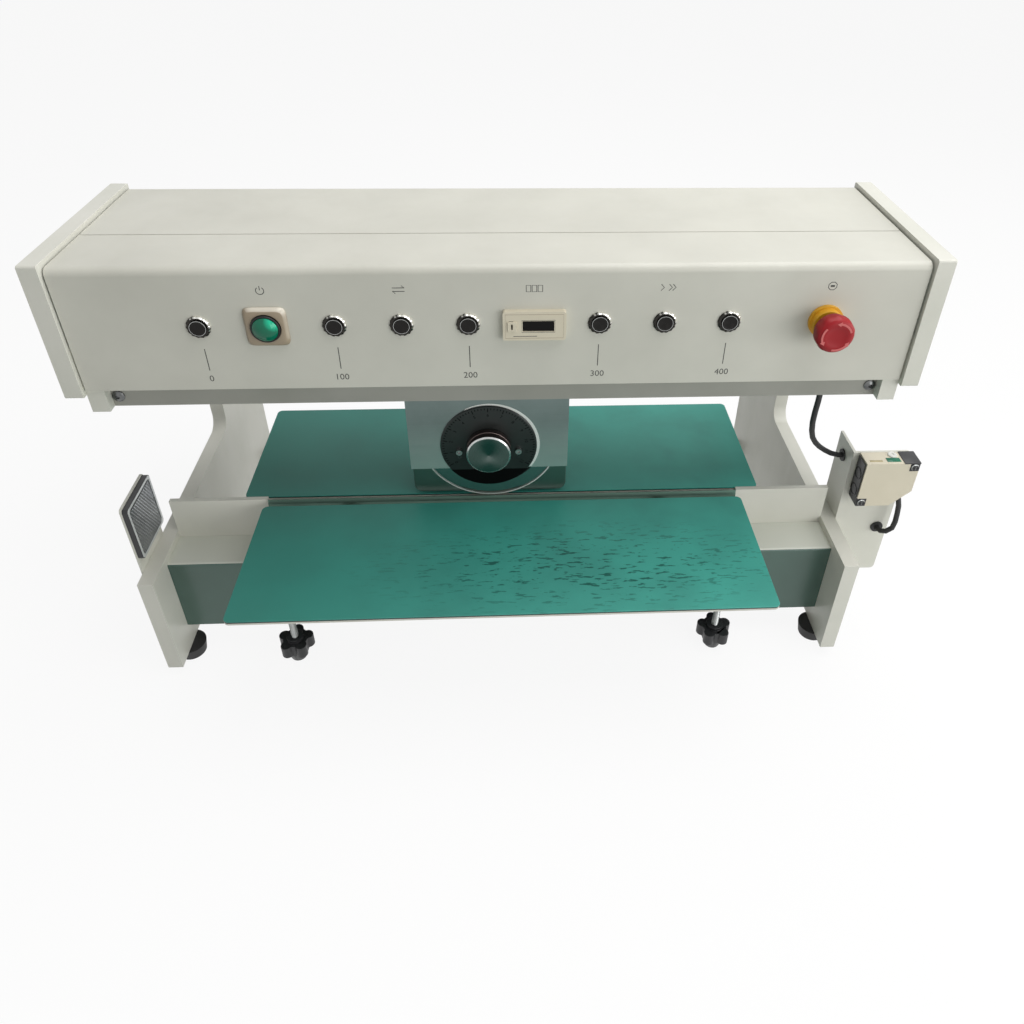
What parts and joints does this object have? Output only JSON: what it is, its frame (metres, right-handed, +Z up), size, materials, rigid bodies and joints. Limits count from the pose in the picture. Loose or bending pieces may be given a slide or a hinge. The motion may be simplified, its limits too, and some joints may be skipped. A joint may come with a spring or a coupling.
{
  "type": "pcb depaneling machine",
  "caption": "Bench-top circuit board separator: a free-rolling round blade on a belt-driven carriage parts scored boards against a straight blade between two platforms.",
  "frame": {"origin": "centre of the footprint of the whole object, on the ground under the feet", "axes": "+X along the straight blade from left to right, +Y from the operator's side to the rear, +Z up"},
  "size_m": [0.72, 0.446, 0.416],
  "materials": {
    "paint": "satin",
    "steel": "satin",
    "bright_steel": "polished",
    "alloy": "satin",
    "black_alloy": "satin",
    "rubber": "matte",
    "mat": "matte",
    "black_plastic": "matte",
    "beige_plastic": "matte",
    "red_plastic": "gloss",
    "yellow_plastic": "matte",
    "green_lens": "gloss",
    "circuit_board": "satin",
    "cast_motor": "satin"
  },
  "bodies": {
    "frame": {"side_plate_left": "paint", "side_plate_right": "paint", "rubber_feet": "rubber", "frame_screws": "black_alloy", "base_beam": "paint", "knife_bar": "paint", "linear_blade": "bright_steel", "platform_plates": "paint", "platform_mats": "mat", "platform_supports": "paint", "platform_legs": "steel", "front_beam": "paint", "guide_beam": "alloy", "linear_rail": "steel", "belt_brackets": "alloy", "motor": "cast_motor", "drive_belt": "rubber", "control_electronics": "circuit_board", "end_plates": "paint", "front_cover": "paint", "rear_cover": "paint", "power_inlet": "black_plastic", "button_bezels": "bright_steel", "power_bezel": "beige_plastic", "counter_body": "beige_plastic", "counter_window": "black_plastic", "stop_collar": "yellow_plastic", "reflector_holder": "paint", "reflector": "black_plastic", "sensor_bracket": "paint", "sensor_body": "beige_plastic", "sensor_trim": "black_plastic", "sensor_cable": "rubber", "cable_grommets": "rubber"},
    "carriage": {"carriage_head": "alloy", "carriage_front_plate": "alloy", "guide_blocks": "steel", "belt_clamp": "alloy", "scale_plate": "black_alloy", "scale_screws": "steel"},
    "height_adjuster": {"height_axle": "steel", "height_knob": "bright_steel"},
    "blade": {"rotary_blade": "bright_steel", "blade_hub": "black_alloy", "blade_bearing": "bright_steel"},
    "drive_wheel": {"drive_pulley": "alloy"},
    "idler_wheel": {"idler_pulley": "alloy"},
    "foot_left": {"star_foot_left": "black_plastic"},
    "foot_right": {"star_foot_right": "black_plastic"},
    "cap_0": {"stroke_button_0": "black_plastic"},
    "cap_100": {"stroke_button_100": "black_plastic"},
    "cap_200": {"stroke_button_200": "black_plastic"},
    "cap_300": {"stroke_button_300": "black_plastic"},
    "cap_400": {"stroke_button_400": "black_plastic"},
    "cap_mode": {"mode_button": "black_plastic"},
    "cap_speed": {"speed_button": "black_plastic"},
    "power_cap": {"power_lens": "green_lens"},
    "counter_cap": {"counter_key": "beige_plastic"},
    "stop_plunger": {"stop_stem": "black_plastic"},
    "stop_head": {"stop_button": "red_plastic"}
  },
  "joints": [
    {"name": "carriage_travel", "type": "slide", "parent": "frame", "child": "carriage", "axis": [1, 0, 0], "range_m": [-0.21, 0.2]},
    {"name": "blade_height", "type": "hinge", "parent": "carriage", "child": "height_adjuster", "pos_m": [-0.0346, -0.07765, 0.2253], "axis": [0, 1, 0], "range_deg": [-60, 60]},
    {"name": "blade_roll", "type": "hinge", "parent": "height_adjuster", "child": "blade", "pos_m": [-0.0336, -0.07765, 0.2253], "axis": [0, 1, 0], "continuous": true},
    {"name": "drive_pulley_turn", "type": "hinge", "parent": "frame", "child": "drive_wheel", "pos_m": [0.251, -0.032, 0.378], "axis": [0, 1, 0], "range_deg": [-840, 840]},
    {"name": "idler_pulley_turn", "type": "hinge", "parent": "frame", "child": "idler_wheel", "pos_m": [-0.293, -0.032, 0.378], "axis": [0, 1, 0], "range_deg": [-840, 840]},
    {"name": "foot_left_turn", "type": "hinge", "parent": "frame", "child": "foot_left", "pos_m": [-0.228, -0.125, 0.01], "axis": [0, 0, 1], "range_deg": [-180, 180]},
    {"name": "foot_right_turn", "type": "hinge", "parent": "frame", "child": "foot_right", "pos_m": [0.186, -0.125, 0.01], "axis": [0, 0, 1], "range_deg": [-180, 180]},
    {"name": "cap_0_push", "type": "slide", "parent": "frame", "child": "cap_0", "axis": [0, 1, 0], "range_m": [0, 0.002], "stiffness_N_per_m": 900},
    {"name": "cap_100_push", "type": "slide", "parent": "frame", "child": "cap_100", "axis": [0, 1, 0], "range_m": [0, 0.002], "stiffness_N_per_m": 900},
    {"name": "cap_mode_push", "type": "slide", "parent": "frame", "child": "cap_mode", "axis": [0, 1, 0], "range_m": [0, 0.002], "stiffness_N_per_m": 900},
    {"name": "cap_200_push", "type": "slide", "parent": "frame", "child": "cap_200", "axis": [0, 1, 0], "range_m": [0, 0.002], "stiffness_N_per_m": 900},
    {"name": "cap_300_push", "type": "slide", "parent": "frame", "child": "cap_300", "axis": [0, 1, 0], "range_m": [0, 0.002], "stiffness_N_per_m": 900},
    {"name": "cap_speed_push", "type": "slide", "parent": "frame", "child": "cap_speed", "axis": [0, 1, 0], "range_m": [0, 0.002], "stiffness_N_per_m": 900},
    {"name": "cap_400_push", "type": "slide", "parent": "frame", "child": "cap_400", "axis": [0, 1, 0], "range_m": [0, 0.002], "stiffness_N_per_m": 900},
    {"name": "power_push", "type": "slide", "parent": "frame", "child": "power_cap", "axis": [0, 1, 0], "range_m": [0, 0.0025], "stiffness_N_per_m": 900},
    {"name": "counter_key_push", "type": "slide", "parent": "frame", "child": "counter_cap", "axis": [0, 1, 0], "range_m": [0, 0.0008], "stiffness_N_per_m": 900},
    {"name": "stop_press", "type": "slide", "parent": "frame", "child": "stop_plunger", "axis": [0, 1, 0], "range_m": [0, 0.004]},
    {"name": "stop_twist", "type": "hinge", "parent": "stop_plunger", "child": "stop_head", "pos_m": [0.229, -0.132, 0.3654], "axis": [0, 1, 0], "range_deg": [0, 45]}
  ],
  "couplings": [
    {"joint": "drive_pulley_turn", "follows": "carriage_travel", "rad_per_m": -66.667},
    {"joint": "idler_pulley_turn", "follows": "carriage_travel", "rad_per_m": -66.667}
  ]
}
